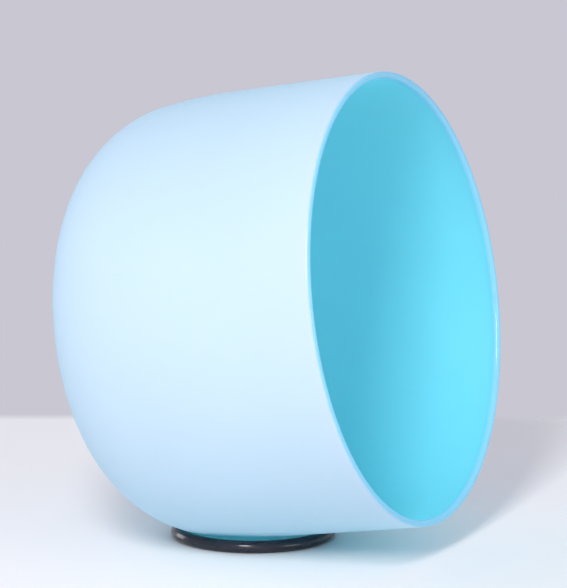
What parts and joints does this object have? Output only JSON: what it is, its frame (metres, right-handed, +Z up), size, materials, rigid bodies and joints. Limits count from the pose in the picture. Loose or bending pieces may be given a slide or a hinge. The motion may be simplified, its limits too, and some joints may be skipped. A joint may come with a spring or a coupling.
{
  "type": "singing bowl",
  "caption": "Frosted quartz singing bowl lying on its side in a rubber O-ring, pale outside and cyan inside, that lifts off its ring.",
  "frame": {"origin": "on the table, under the middle of the model's box", "axes": "+Z up, +X level towards the mouth of the bowl, whose axis lies in the XZ plane and rises 10 degrees towards +X"},
  "size_m": [0.2157, 0.25, 0.264],
  "materials": {
    "frosted_quartz": "frosted, pale blue outside and cyan inside",
    "black_rubber": "smooth, slight sheen"
  },
  "bodies": {
    "ring": {"o_ring": "black_rubber"},
    "bowl": {"bowl": "frosted_quartz"}
  },
  "joints": [
    {"name": "bowl_lift", "type": "slide", "parent": "ring", "child": "bowl", "axis": [0, 0, 1], "range_m": [0, 0.15]}
  ]
}
